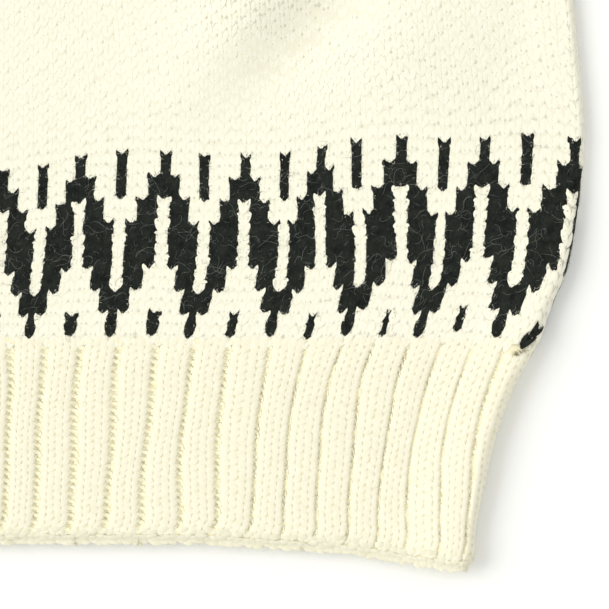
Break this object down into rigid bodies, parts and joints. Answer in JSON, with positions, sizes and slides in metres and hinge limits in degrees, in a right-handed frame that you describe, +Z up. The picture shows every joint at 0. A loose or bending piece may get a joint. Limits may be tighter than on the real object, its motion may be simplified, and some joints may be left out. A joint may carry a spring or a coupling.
{
  "type": "knit sweater",
  "caption": "Long-sleeved wool pullover laid flat, plain cream knit with a dark zigzag band above a ribbed hem, ribbed cuffs and neckband.",
  "frame": {"origin": "on the surface the garment lies on, under the middle of its bounding box", "axes": "+Z up out of the garment's front, +Y from hem to neck, +X towards the wearer's left sleeve"},
  "size_m": [1.3226, 0.6663, 0.0104],
  "materials": {
    "cream_wool": "matt stocking-stitch wool with a short fuzz",
    "rib_wool": "matt ribbed wool with a short fuzz",
    "charcoal_wool": "matt near-black wool with pale hairs"
  },
  "bodies": {
    "root": {"front_body": "cream_wool", "back_body": "cream_wool", "sleeve_left": "cream_wool", "sleeve_right": "cream_wool", "hem_rib_front": "rib_wool", "hem_rib_back": "rib_wool", "cuff_left": "rib_wool", "cuff_right": "rib_wool", "neckband": "rib_wool"}
  },
  "joints": []
}
